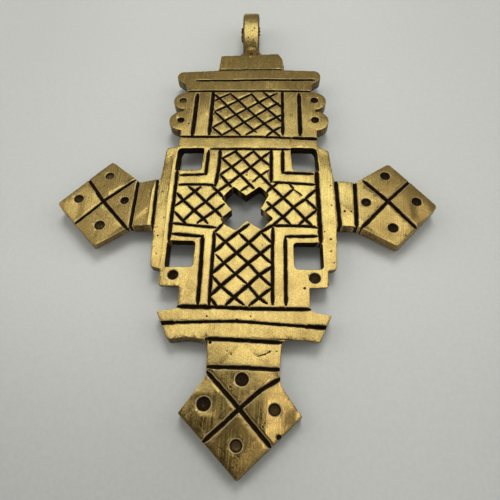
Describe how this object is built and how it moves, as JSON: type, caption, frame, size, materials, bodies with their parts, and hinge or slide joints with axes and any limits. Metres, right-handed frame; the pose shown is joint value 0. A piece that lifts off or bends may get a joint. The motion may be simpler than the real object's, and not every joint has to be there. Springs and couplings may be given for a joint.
{
  "type": "coptic cross pendant",
  "caption": "Flat cast brass pendant cross with pierced windows, carved lattice, lozenge arm ends and foot, and a long strap loop brazed on above the head.",
  "frame": {"origin": "under the middle of the whole length and width, at the height of the lowest side of the loop", "axes": "+Y runs from the tip of the foot to the loop, +Z out of the carved face, +X to the right arm seen from the front"},
  "size_m": [0.07, 0.1024, 0.006],
  "materials": {
    "cast_brass": "hand-filed and brushed, worn bright, with dark patina in the carving",
    "braze_metal": "rough, pitted and darkened by heat",
    "loop_brass": "filed, with casting pits and dull flanks"
  },
  "bodies": {
    "root": {"cross_casting": "cast_brass", "braze_joint": "braze_metal", "suspension_loop": "loop_brass"}
  },
  "joints": []
}
